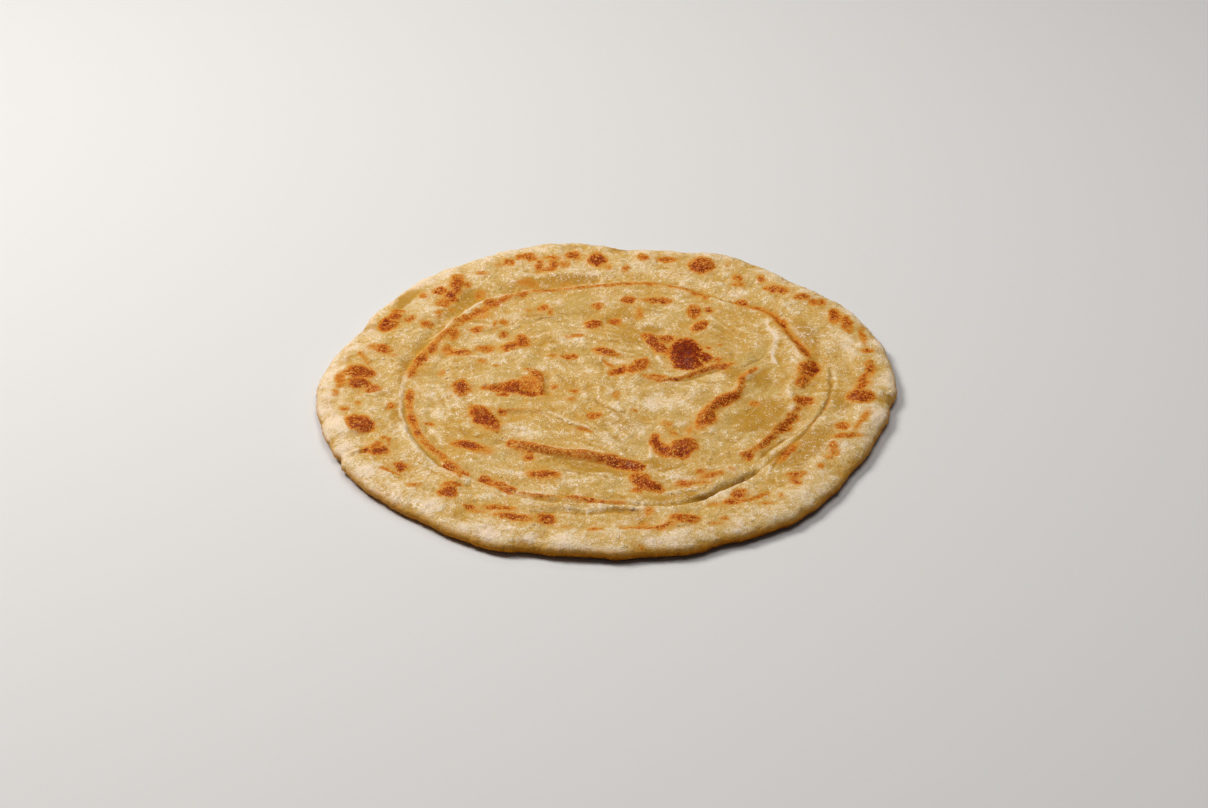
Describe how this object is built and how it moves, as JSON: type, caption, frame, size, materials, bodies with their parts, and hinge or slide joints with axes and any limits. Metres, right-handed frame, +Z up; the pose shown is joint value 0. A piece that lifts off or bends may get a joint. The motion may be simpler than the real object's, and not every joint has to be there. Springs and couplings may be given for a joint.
{
  "type": "paratha",
  "caption": "Round pan-fried layered flatbread lying flat, with one coiled fold line, flaky folds, browned blisters and a rounded rim.",
  "frame": {"origin": "on the flat resting face, under the middle of the bread's box", "axes": "+Z up from the resting face through the bread's thickness; +Y away from the usual viewer; +X to the viewer's right"},
  "size_m": [0.2114, 0.215, 0.0071],
  "materials": {
    "baked_dough": "pan-fried wheat dough: pale golden cream, translucent greasy golden hollows with a soft oily sheen, floury pale bubbles, toasted golden brown to dark brown blisters and fold lines, amber rim foot"
  },
  "bodies": {
    "root": {"paratha": "baked_dough"}
  },
  "joints": []
}
